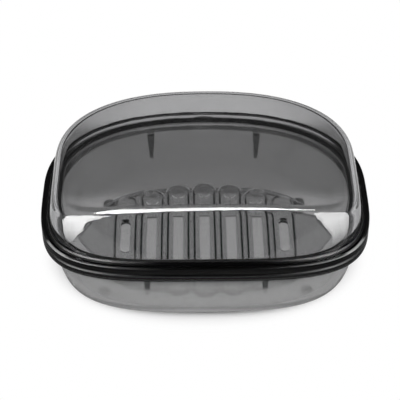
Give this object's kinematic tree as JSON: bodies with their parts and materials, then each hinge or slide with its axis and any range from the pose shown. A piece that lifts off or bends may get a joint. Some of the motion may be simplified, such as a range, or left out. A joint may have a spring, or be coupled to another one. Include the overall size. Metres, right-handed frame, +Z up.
{
  "type": "soap box",
  "caption": "Closed oval soap box in smoky clear plastic: a bowl-shaped dish on small feet, a slotted drain insert and a domed lift-off lid.",
  "frame": {"origin": "centre of the box's plan, on the surface that the four feet stand on", "axes": "+X along the box's length, -Y to its front, +Z up"},
  "size_m": [0.126, 0.0962, 0.0558],
  "materials": {
    "dish_plastic": "polished clear moulding, smoky grey",
    "insert_plastic": "polished clear moulding, deeper smoky grey",
    "lid_plastic": "polished clear moulding, smoky grey"
  },
  "bodies": {
    "dish": {"dish": "dish_plastic"},
    "insert": {"drain_insert": "insert_plastic"},
    "lid": {"lid": "lid_plastic"}
  },
  "joints": [
    {"name": "insert_lift", "type": "slide", "parent": "dish", "child": "insert", "axis": [0, 0, 1], "range_m": [0, 0.045]},
    {"name": "lid_lift", "type": "slide", "parent": "insert", "child": "lid", "axis": [0, 0, 1], "range_m": [0, 0.06]}
  ]
}
